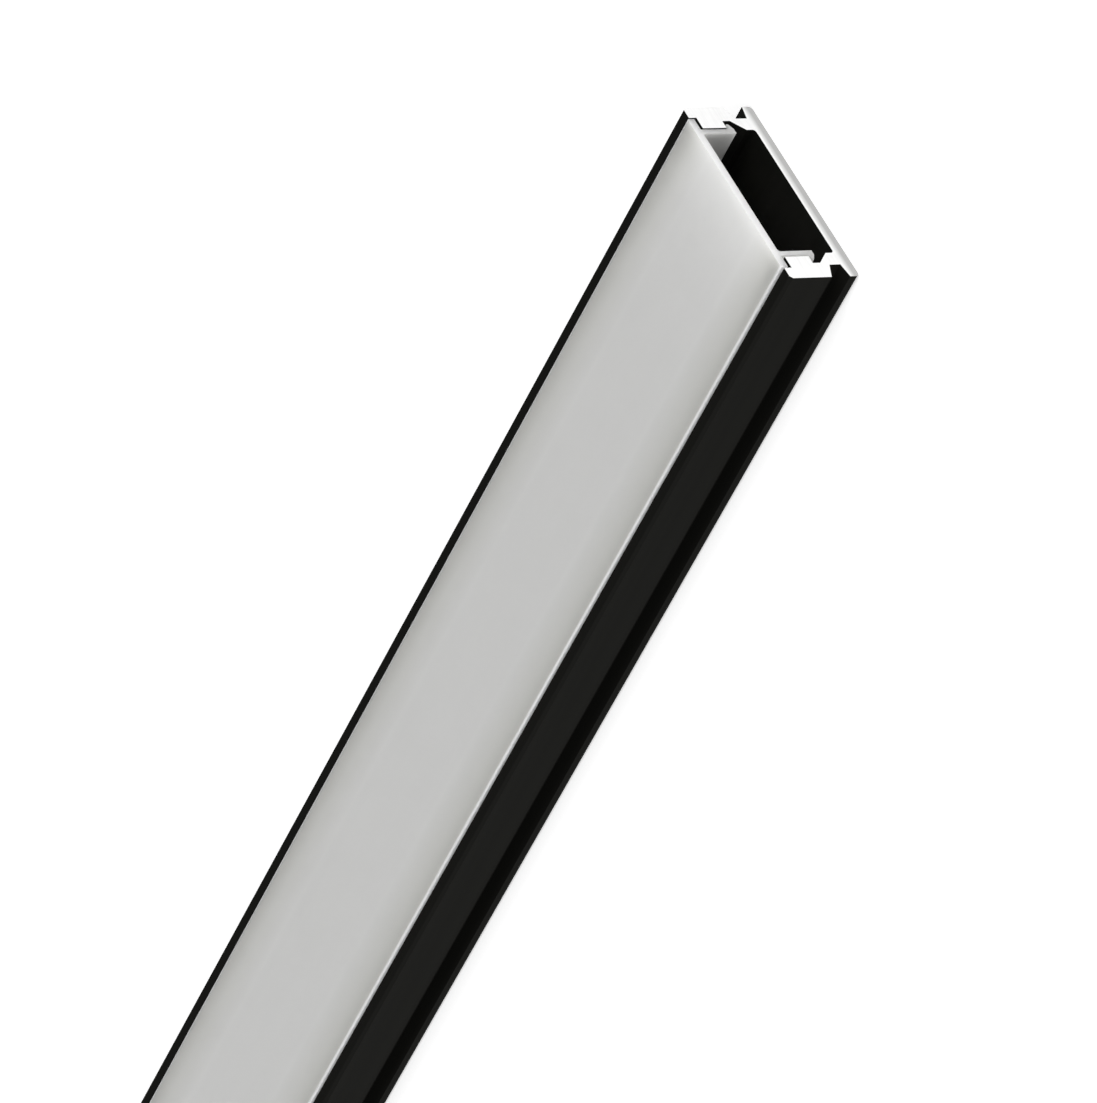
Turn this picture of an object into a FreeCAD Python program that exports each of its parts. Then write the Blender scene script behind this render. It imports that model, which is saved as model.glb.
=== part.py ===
import FreeCAD, Part
import Sketcher
import os
from types import SimpleNamespace

# LED strip profile: a flat black-anodised aluminium extrusion with a slide-in opal cover.
# Frame: X along the length, Y across the width, Z from the mounting face up to the
# light-giving face. The origin is the middle of the mounting face. All sizes in mm.

DIMS = {
    # the extrusion
    "profile_length": 500.0,
    "profile_width": 20.0,
    "profile_height": 7.0,
    "base_thickness": 1.1,
    "wall_thickness": 2.75,
    "rim_width": 1.2,
    "front_chamfer": 0.25,
    "back_radius": 0.4,
    "floor_radius": 0.3,
    # the clip grooves along the outer sides
    "lip_height": 0.95,
    "groove_depth": 1.4,
    "groove_mouth": 1.9,
    "groove_floor": 1.1,
    "lip_slope_height": 0.25,
    # the recesses and barbed notches of the inner walls, which hold the cover's legs
    "leg_recess": 0.3,
    "latch_drop": 3.15,
    "notch_depth": 1.1,
    "notch_floor": 0.75,
    "notch_mouth": 1.9,
    # the opal cover
    "cover_rise": 0.25,
    "cover_thickness": 0.7,
    "cover_clearance": 0.15,
    "seat_gap": 0.3,
    "cover_edge_radius": 0.15,
    "leg_thickness": 0.5,
    "leg_root_radius": 0.3,
    "hook_depth": 0.55,
    "hook_tip_height": 0.2,
    "hook_height": 0.5,
}

TOLERANCE = 1e-5

doc = FreeCAD.newDocument("led_strip_profile")
sheet = doc.addObject("Spreadsheet::Sheet", "Dims")
for row, (alias, value) in enumerate(DIMS.items(), start=1):
    sheet.set(f"A{row}", alias)
    sheet.set(f"B{row}", str(value))
    sheet.setAlias(f"B{row}", alias)
doc.recompute()


class Length:
    """A length worked out from named dimensions: its value now, and its expression."""

    def __init__(self, value, text):
        self.value = value
        self.text = text

    def __add__(self, other):
        return Length(self.value + other.value, f"{self.text} + {other.text}")

    def __sub__(self, other):
        return Length(self.value - other.value, f"{self.text} - ({other.text})")

    def half(self):
        return Length(self.value / 2, f"({self.text}) / 2")

    def twice(self):
        return Length(self.value * 2, f"({self.text}) * 2")


dim = SimpleNamespace(**{name: Length(value, f"Dims.{name}") for name, value in DIMS.items()})


def plane(body, role):
    """One of the body's own origin planes."""
    return next(item for item in body.Origin.OriginFeatures if item.Role == role)


def section_sketch(body, name):
    """An empty sketch across the profile: its horizontal is Y, its vertical is Z."""
    sketch = body.newObject("Sketcher::SketchObject", name)
    sketch.AttachmentSupport = [(plane(body, "YZ_Plane"), "")]
    sketch.MapMode = "FlatFace"
    return sketch


def close_loop(sketch, corners):
    """Draw straight lines through the corners and join their ends."""
    points = [FreeCAD.Vector(y, z, 0) for y, z in corners]
    count = len(points)
    for i in range(count):
        sketch.addGeometry(Part.LineSegment(points[i], points[(i + 1) % count]), False)
    for i in range(count):
        sketch.addConstraint(Sketcher.Constraint("Coincident", i, 2, (i + 1) % count, 1))


def drive(sketch, kind, refs, length):
    """Add a driving dimension and bind it to the spreadsheet."""
    index = sketch.addConstraint(Sketcher.Constraint(kind, *refs, length.value))
    sketch.setExpression(f"Constraints[{index}]", length.text)


def centred_rectangle(body, name, width, low, high):
    """A rectangle centred on the profile, from height low (None for the base) to high."""
    sketch = section_sketch(body, name)
    side = width.half().value
    base = low.value if low else 0.0
    close_loop(sketch, [(-side, base), (side, base), (side, high.value), (-side, high.value)])
    for line, direction in ((1, "Vertical"), (2, "Horizontal"), (3, "Vertical")):
        sketch.addConstraint(Sketcher.Constraint(direction, line))
    sketch.addConstraint(Sketcher.Constraint("Symmetric", 0, 1, 0, 2, -2))
    drive(sketch, "DistanceX", (0, 1, 0, 2), width)
    if low:
        drive(sketch, "DistanceY", (-1, 1, 0, 1), low)
    else:
        sketch.addConstraint(Sketcher.Constraint("PointOnObject", 0, 1, -1))
    drive(sketch, "DistanceY", (-1, 1, 2, 1), high)
    return sketch


def side_outline(body, name, corners):
    """A closed outline on the +Y side, each corner held from the origin."""
    sketch = section_sketch(body, name)
    close_loop(sketch, [(y.value, z.value) for y, z in corners])
    for line, (y, z) in enumerate(corners):
        drive(sketch, "DistanceX", (-1, 1, line, 1), y)
        drive(sketch, "DistanceY", (-1, 1, line, 1), z)
    return sketch


def extrude(body, name, sketch):
    """Pad a section along the whole length, half to each side of the middle."""
    pad = body.newObject("PartDesign::Pad", name)
    pad.Profile = sketch
    pad.SideType = "Symmetric"
    pad.Length = dim.profile_length.value
    pad.setExpression("Length", dim.profile_length.text)
    sketch.Visibility = False
    doc.recompute()
    return pad


def cut_through(body, name, sketch):
    """Cut a section out of the whole length."""
    before = body.Tip.Shape.Volume
    pocket = body.newObject("PartDesign::Pocket", name)
    pocket.Profile = sketch
    pocket.SideType = "Symmetric"
    pocket.Type = "ThroughAll"
    sketch.Visibility = False
    doc.recompute()
    if pocket.Shape.Volume >= before - TOLERANCE:
        raise RuntimeError(f"{name} cuts nothing")
    return pocket


def mirror_across(body, name, feature):
    """Repeat a feature on the other side of the profile."""
    mirrored = body.newObject("PartDesign::Mirrored", name)
    mirrored.Originals = [feature]
    mirrored.MirrorPlane = (plane(body, "XZ_Plane"), [""])
    body.Tip = mirrored
    doc.recompute()
    return mirrored


def long_edges(feature, offset, height):
    """The pair of edges that run along the profile, this far each side of its middle."""
    names = []
    for number, edge in enumerate(feature.Shape.Edges, start=1):
        ends = edge.Vertexes
        if len(ends) != 2 or abs(ends[0].X - ends[1].X) < TOLERANCE:
            continue
        if all(abs(abs(end.Y) - offset.value) < TOLERANCE
               and abs(end.Z - height) < TOLERANCE for end in ends):
            names.append(f"Edge{number}")
    if len(names) != 2:
        raise RuntimeError(f"{feature.Name}: {len(names)} edges found, not 2")
    return names


def dress(body, kind, name, feature, edges, amount):
    """Round or bevel the named edges by a named size."""
    result = body.newObject(f"PartDesign::{kind}", name)
    result.Base = (feature, edges)
    setting = "Radius" if kind == "Fillet" else "Size"
    setattr(result, setting, amount.value)
    result.setExpression(setting, amount.text)
    doc.recompute()
    return result


# Stations across the profile and up its height that several features share.
half_width = dim.profile_width.half()
wall_inside = half_width - dim.wall_thickness
recess_wall = wall_inside + dim.leg_recess
cover_front = dim.profile_height + dim.cover_rise
plate_back = cover_front - dim.cover_thickness
seat_level = plate_back - dim.seat_gap
latch_level = dim.profile_height - dim.latch_drop

# The aluminium channel
channel = doc.addObject("PartDesign::Body", "Channel")
channel.Label = "channel"

outline = centred_rectangle(
    channel, "OuterOutline", dim.profile_width, None, dim.profile_height)
billet = extrude(channel, "OuterShape", outline)
bevelled = dress(channel, "Chamfer", "FrontEdges", billet,
                 long_edges(billet, half_width, dim.profile_height.value),
                 dim.front_chamfer)
dress(channel, "Fillet", "BackEdges", bevelled,
      long_edges(bevelled, half_width, 0.0), dim.back_radius)

hollow_outline = centred_rectangle(
    channel, "HollowOutline", wall_inside.twice(), dim.base_thickness, dim.profile_height)
hollow = cut_through(channel, "Hollow", hollow_outline)
dress(channel, "Fillet", "FloorCorners", hollow,
      long_edges(hollow, wall_inside, dim.base_thickness.value), dim.floor_radius)

seat_outline = centred_rectangle(
    channel, "SeatOutline", (half_width - dim.rim_width).twice(), seat_level,
    dim.profile_height)
cut_through(channel, "CoverSeat", seat_outline)

recess_outline = centred_rectangle(
    channel, "LegRecessOutline", recess_wall.twice(), latch_level, dim.profile_height)
cut_through(channel, "LegRecess", recess_outline)

groove_floor = half_width - dim.groove_depth
lip_root = dim.lip_height + dim.lip_slope_height
groove_outline = side_outline(channel, "ClipGrooveOutline", [
    (half_width, dim.lip_height),
    (half_width, dim.lip_height + dim.groove_mouth),
    (groove_floor, lip_root + dim.groove_floor),
    (groove_floor, lip_root),
])
groove = cut_through(channel, "ClipGroove", groove_outline)
mirror_across(channel, "ClipGrooves", groove)

notch_floor = wall_inside + dim.notch_depth
notch_outline = side_outline(channel, "BarbNotchOutline", [
    (wall_inside, latch_level),
    (wall_inside, latch_level - dim.notch_mouth),
    (notch_floor, latch_level - dim.notch_floor),
    (notch_floor, latch_level),
])
notch = cut_through(channel, "BarbNotch", notch_outline)
mirror_across(channel, "BarbNotches", notch)

# The opal cover: a plate between the rims that stands a little proud of them, on two legs
# whose hooks lie in the notches
cover = doc.addObject("PartDesign::Body", "Cover")
cover.Label = "cover"

plate_side = half_width - dim.rim_width - dim.cover_clearance
plate_outline = centred_rectangle(
    cover, "PlateOutline", plate_side.twice(), plate_back, cover_front)
plate = extrude(cover, "Plate", plate_outline)
dress(cover, "Fillet", "PlateEdges", plate,
      long_edges(plate, plate_side, cover_front.value), dim.cover_edge_radius)

leg_outside = recess_wall - dim.cover_clearance
leg_inside = leg_outside - dim.leg_thickness
hook_tip = leg_outside + dim.hook_depth
hook_top = latch_level - dim.cover_clearance
leg_end = hook_top - dim.hook_height
leg_outline = side_outline(cover, "LegOutline", [
    (leg_inside, plate_back),
    (leg_inside, leg_end),
    (leg_outside, leg_end),
    (hook_tip, hook_top - dim.hook_tip_height),
    (hook_tip, hook_top),
    (leg_outside, hook_top),
    (leg_outside, plate_back),
])
leg = extrude(cover, "Leg", leg_outline)
legs = mirror_across(cover, "Legs", leg)
dress(cover, "Fillet", "LegRoots", legs,
      long_edges(legs, leg_inside, plate_back.value), dim.leg_root_radius)

doc.recompute()

# Check every object, then write one file for each piece.
for item in doc.Objects:
    if "Invalid" in item.State or "Error" in item.State:
        raise RuntimeError(f"{item.Name}: {item.State}")

os.makedirs("parts", exist_ok=True)
for piece in (channel, cover):
    if not piece.Shape.isValid() or len(piece.Shape.Solids) != 1:
        raise RuntimeError(f"{piece.Label} is not one valid solid")
    piece.Shape.exportStep(f"parts/{piece.Label}.step")
    box = piece.Shape.BoundBox
    print(piece.Label, [round(v, 3) for v in (box.XMin, box.XMax, box.YMin, box.YMax,
                                             box.ZMin, box.ZMax)],
          "volume", round(piece.Shape.Volume, 1), "faces", len(piece.Shape.Faces))
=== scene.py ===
import bpy
from mathutils import Matrix, Vector


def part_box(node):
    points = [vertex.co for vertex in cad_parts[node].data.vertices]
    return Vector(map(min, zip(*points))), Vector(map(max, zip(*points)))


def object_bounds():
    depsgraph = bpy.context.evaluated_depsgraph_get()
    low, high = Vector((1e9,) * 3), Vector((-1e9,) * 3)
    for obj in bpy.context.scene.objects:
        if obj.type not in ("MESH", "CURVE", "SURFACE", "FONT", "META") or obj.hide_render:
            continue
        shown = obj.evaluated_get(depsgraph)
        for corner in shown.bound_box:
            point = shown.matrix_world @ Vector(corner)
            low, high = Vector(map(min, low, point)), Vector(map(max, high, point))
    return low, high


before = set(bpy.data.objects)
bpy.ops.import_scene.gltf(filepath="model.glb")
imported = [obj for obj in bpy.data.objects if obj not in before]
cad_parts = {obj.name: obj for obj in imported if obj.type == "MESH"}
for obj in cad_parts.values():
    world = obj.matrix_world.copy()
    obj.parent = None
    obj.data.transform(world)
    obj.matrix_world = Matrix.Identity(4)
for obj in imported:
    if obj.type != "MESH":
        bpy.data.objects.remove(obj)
CAD_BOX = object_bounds()

# The photograph's view: the camera's axes (right, up, back) in the part's frame, its place
# in metres, and the focal length in pixels of the 1097 x 1103 frame
PHOTO_LONG_SIDE = 1103
FOCAL_PIXELS = 9054.3
CAMERA_PLACE = (0.667137, -0.420909, 0.445959)
CAMERA_AXES = (
    (0.388530, 0.697656, 0.601931),
    (-0.429070, 0.715089, -0.551857),
    (-0.815441, -0.043857, 0.577177),
)
SENSOR = 36.0
CLIP_RANGE = (0.01, 50.0)

# The cover: its plate's thickness; the painted shade along each long edge, where the plate
# lies over black metal, from where it begins to where it is darkest; and the painted
# highlight along the edge itself
PLATE_THICKNESS = 0.0007
EDGE_SHADE_SPAN = (0.0042, 0.0005)
EDGE_HIGHLIGHT_SPAN = (0.00022, 0.00008)
# The channel's cut end: the heights between which it turns from darker at its back edge to
# bright
DARK_BACK_BAND = (0.00045, 0.00095)
# A face counts as a square cut when its normal lies this much along the profile
CUT_NORMAL = (0.80, 0.81)

# Lines left by the die or the saw: how tightly they lie along X, Y and Z
DIE_LINES = (3.0, 900.0, 900.0)
SAW_LINES = (1.0, 260.0, 5200.0)
DRAW_LINES = (2.0, 320.0, 320.0)
EVEN = (1.0, 1.0, 1.0)
GRAIN_SCALE = 2500.0

# Black anodising and bare metal, each from its darker lines to its lighter ones
ANODISED_TONES = ((0.0052, 0.0052, 0.0045, 1), (0.0090, 0.0090, 0.0079, 1))
BARE_TONES = ((0.79, 0.79, 0.79, 1), (0.97, 0.97, 0.965, 1))
DARK_BACK_TONE = (0.47, 0.47, 0.465, 1)
ANODISED_ROUGHNESS = (0.36, 0.46)
ANODISED_SPECULAR = 0.012
CUT_ROUGHNESS = 0.42
CUT_METALLIC = 0.55
METAL_BUMP = {"Strength": 0.12, "Distance": 0.00004}

# Opal plastic: its plate, the painted shade on the strips over black metal, the painted
# highlight on its edge lines and the tone of its cut ends, the painted shade on its legs
OPAL_TONES = ((0.81, 0.81, 0.775, 1), (0.85, 0.85, 0.815, 1))
EDGE_SHADE_TONE = (0.52, 0.52, 0.49, 1)
CUT_END_AND_HIGHLIGHT_TONE = (0.97, 0.97, 0.96, 1)
LEG_SHADE_TONE = (0.45, 0.45, 0.44, 1)
OPAL_ROUGHNESS = (0.26, 0.32)
OPAL_SPECULAR = 0.45
OPAL_SCATTER = 0.004
OPAL_BUMP = {"Strength": 0.06, "Distance": 0.00003}

# The floor lies just under the channel's back, so that the two faces don't coincide
FLOOR_SIZE = 24.0
FLOOR_DROP = 0.00002
FLOOR_TONE = (0.90, 0.90, 0.90, 1)
FLOOR_ROUGHNESS = 0.9
FLOOR_SPECULAR = 0.1
FLOOR_GLOW = 0.42
ROOM_LIGHT = 0.5
WHITE = (1, 1, 1, 1)

# A Mix node's input and output sockets by data type: first value, second value, result
MIX_SOCKETS = {"FLOAT": (2, 3, 0), "RGBA": (6, 7, 2)}


def new_material(name):
    """A new node material: itself, its node tree and its Principled shader."""
    mat = bpy.data.materials.new(name)
    mat.use_nodes = True
    tree = mat.node_tree
    return mat, tree, tree.nodes["Principled BSDF"]


def add(tree, kind, **settings):
    """A node with its settings and, by socket name, its input values."""
    node = tree.nodes.new(kind)
    for key, value in settings.items():
        if key in node.inputs:
            node.inputs[key].default_value = value
        else:
            setattr(node, key, value)
    return node


def stretched_noise(tree, squeeze, scale=1.0, detail=3.0):
    """Noise drawn out along the profile, as a die leaves its lines."""
    coords = add(tree, "ShaderNodeTexCoord")
    mapping = add(tree, "ShaderNodeMapping", Scale=squeeze)
    noise = add(tree, "ShaderNodeTexNoise", Scale=scale, Detail=detail)
    tree.links.new(coords.outputs["Object"], mapping.inputs["Vector"])
    tree.links.new(mapping.outputs["Vector"], noise.inputs["Vector"])
    return noise.outputs["Fac"]


def ranged(tree, source, low, high, start=0.0, end=1.0):
    """Map a value from start..end to low..high."""
    node = add(tree, "ShaderNodeMapRange")
    node.inputs["From Min"].default_value = start
    node.inputs["From Max"].default_value = end
    node.inputs["To Min"].default_value = low
    node.inputs["To Max"].default_value = high
    tree.links.new(source, node.inputs["Value"])
    return node.outputs["Result"]


def ramp(tree, source, tones):
    """Map a value from 0..1 to the run between two colours."""
    node = add(tree, "ShaderNodeValToRGB")
    for element, tone in zip(node.color_ramp.elements, tones):
        element.color = tone
    tree.links.new(source, node.inputs["Fac"])
    return node.outputs["Color"]


def mixed(tree, kind, mask, first, second):
    """Choose between two colours or values by a mask."""
    node = add(tree, "ShaderNodeMix", data_type=kind)
    first_socket, second_socket, result = MIX_SOCKETS[kind]
    tree.links.new(mask, node.inputs[0])
    for socket, value in ((first_socket, first), (second_socket, second)):
        if hasattr(value, "is_output"):
            tree.links.new(value, node.inputs[socket])
        else:
            node.inputs[socket].default_value = value
    return node.outputs[result]


def roughen(tree, shader, source, strength):
    """Give the surface a slight relief that follows a value."""
    bump = add(tree, "ShaderNodeBump", **strength)
    tree.links.new(source, bump.inputs["Height"])
    tree.links.new(bump.outputs["Normal"], shader.inputs["Normal"])


def component(tree, source, axis, absolute=True):
    """One axis of the surface's place or normal in the piece's own frame."""
    coords = add(tree, "ShaderNodeTexCoord")
    split = add(tree, "ShaderNodeSeparateXYZ")
    tree.links.new(coords.outputs[source], split.inputs["Vector"])
    if not absolute:
        return split.outputs[axis]
    size = add(tree, "ShaderNodeMath", operation="ABSOLUTE")
    tree.links.new(split.outputs[axis], size.inputs[0])
    return size.outputs["Value"]


def end_mask(tree):
    """1 on the faces that are cut square across the profile, 0 elsewhere."""
    return ranged(tree, component(tree, "Normal", "X"), 0.0, 1.0, *CUT_NORMAL)


def back_mask(tree):
    """1 at the channel's back edge, falling to 0 further up its section."""
    height = component(tree, "Object", "Z", absolute=False)
    return ranged(tree, height, 1.0, 0.0, *DARK_BACK_BAND)


def edge_mask(tree, fade, full):
    """0 in the middle of the cover, rising to 1 between two distances from its long edges."""
    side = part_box("cover")[1].y
    across = component(tree, "Object", "Y")
    return ranged(tree, across, 0.0, 1.0, side - fade, side - full)


def leg_shade_mask(tree):
    """0 at the back of the cover's plate, rising to 1 at the ends of its legs, where their
    painted shade is darkest.
    """
    low, high = (corner.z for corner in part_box("cover"))
    height = component(tree, "Object", "Z", absolute=False)
    return ranged(tree, height, 0.0, 1.0, high - PLATE_THICKNESS, low)


def anodised_material():
    """Satin black anodising with faint die lines, and bare sawn metal on the cut ends."""
    mat, tree, shader = new_material("black_anodised_aluminium")
    cut = end_mask(tree)
    die_lines = stretched_noise(tree, DIE_LINES)
    grain = stretched_noise(tree, EVEN, GRAIN_SCALE, 2.0)
    saw_lines = stretched_noise(tree, SAW_LINES)

    black = ramp(tree, die_lines, ANODISED_TONES)
    bare = ramp(tree, saw_lines, BARE_TONES)
    # The cut ends grow darker towards their back edge
    darker_at_back = mixed(tree, "RGBA", back_mask(tree), bare, DARK_BACK_TONE)
    colour = mixed(tree, "RGBA", cut, black, darker_at_back)
    satin = ranged(tree, die_lines, *ANODISED_ROUGHNESS)
    roughness = mixed(tree, "FLOAT", cut, satin, CUT_ROUGHNESS)
    metallic = mixed(tree, "FLOAT", cut, 0.0, CUT_METALLIC)
    tree.links.new(colour, shader.inputs["Base Color"])
    tree.links.new(roughness, shader.inputs["Roughness"])
    tree.links.new(metallic, shader.inputs["Metallic"])
    shader.inputs["Specular IOR Level"].default_value = ANODISED_SPECULAR
    roughen(tree, shader, mixed(tree, "FLOAT", cut, grain, saw_lines), METAL_BUMP)
    return mat


def opal_material():
    """Opal polycarbonate: light goes in, spreads inside and partly leaves at the back."""
    mat, tree, shader = new_material("opal_polycarbonate")
    draw_lines = stretched_noise(tree, DRAW_LINES)

    colour = ramp(tree, draw_lines, OPAL_TONES)
    # Painted shade: the strip along each long edge, which lies over black metal, is darker
    colour = mixed(tree, "RGBA", edge_mask(tree, *EDGE_SHADE_SPAN), colour, EDGE_SHADE_TONE)
    # Painted highlight: a near-white line along each long edge
    colour = mixed(tree, "RGBA", edge_mask(tree, *EDGE_HIGHLIGHT_SPAN), colour, CUT_END_AND_HIGHLIGHT_TONE)
    colour = mixed(tree, "RGBA", end_mask(tree), colour, CUT_END_AND_HIGHLIGHT_TONE)
    # Painted shade: the legs grow darker towards their ends
    colour = mixed(tree, "RGBA", leg_shade_mask(tree), colour, LEG_SHADE_TONE)
    roughness = ranged(tree, draw_lines, *OPAL_ROUGHNESS)
    tree.links.new(colour, shader.inputs["Base Color"])
    tree.links.new(roughness, shader.inputs["Roughness"])
    shader.subsurface_method = "RANDOM_WALK"
    shader.inputs["Subsurface Weight"].default_value = 1.0
    shader.inputs["Subsurface Radius"].default_value = (1.0, 1.0, 1.0)
    shader.inputs["Subsurface Scale"].default_value = OPAL_SCATTER
    shader.inputs["Specular IOR Level"].default_value = OPAL_SPECULAR
    roughen(tree, shader, draw_lines, OPAL_BUMP)
    return mat


def paint(node, material):
    """Give a CAD node its material."""
    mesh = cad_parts[node].data
    mesh.materials.clear()
    mesh.materials.append(material)


def soft_lamp(name, place, target, width, height, power):
    """An area lamp that faces its target."""
    light = bpy.data.lights.new(name, "AREA")
    light.shape = "RECTANGLE"
    light.size = width
    light.size_y = height
    light.energy = power
    lamp = bpy.data.objects.new(name, light)
    lamp.location = place
    lamp.rotation_mode = "QUATERNION"
    lamp.rotation_quaternion = (Vector(target) - Vector(place)).to_track_quat("-Z", "Y")
    bpy.context.scene.collection.objects.link(lamp)


paint("channel", anodised_material())
paint("cover", opal_material())

# The camera
camera = bpy.data.objects.new("camera", bpy.data.cameras.new("camera"))
bpy.context.scene.collection.objects.link(camera)
camera.data.sensor_width = SENSOR
camera.data.lens = FOCAL_PIXELS * SENSOR / PHOTO_LONG_SIDE
camera.data.clip_start, camera.data.clip_end = CLIP_RANGE
pose = Matrix(CAMERA_AXES).to_4x4()
pose.translation = Vector(CAMERA_PLACE)
camera.matrix_world = pose
bpy.context.scene.camera = camera

# The floor: a plain pale sheet
half = FLOOR_SIZE / 2
floor_mesh = bpy.data.meshes.new("floor")
floor_mesh.from_pydata(
    [(-half, -half, 0), (half, -half, 0), (half, half, 0), (-half, half, 0)],
    [], [(0, 1, 2, 3)])
floor = bpy.data.objects.new("floor", floor_mesh)
bpy.context.scene.collection.objects.link(floor)
floor.location.z = CAD_BOX[0].z - FLOOR_DROP
floor_mat, _, floor_shader = new_material("pale_floor")
floor_shader.inputs["Base Color"].default_value = FLOOR_TONE
floor_shader.inputs["Roughness"].default_value = FLOOR_ROUGHNESS
floor_shader.inputs["Specular IOR Level"].default_value = FLOOR_SPECULAR
floor_shader.inputs["Emission Color"].default_value = WHITE
floor_shader.inputs["Emission Strength"].default_value = FLOOR_GLOW
floor_mesh.materials.append(floor_mat)

# Soft studio light: an even white room, a broad lamp beyond the open end, and a smaller one
# from the other end that draws a fine line of light along the edges
world = bpy.data.worlds.new("room")
world.use_nodes = True
background = world.node_tree.nodes["Background"]
background.inputs["Color"].default_value = WHITE
background.inputs["Strength"].default_value = ROOM_LIGHT
bpy.context.scene.world = world

soft_lamp("key", place=(2.0, 0.2, 1.95), target=(0.2, 0, 0),
          width=1.6, height=1.6, power=28.5)
soft_lamp("edge", place=(-1.13, -1.58, 0.80), target=(0.19, 0, 0),
          width=0.2, height=1.4, power=26.0)

bpy.context.scene.view_settings.view_transform = "Standard"
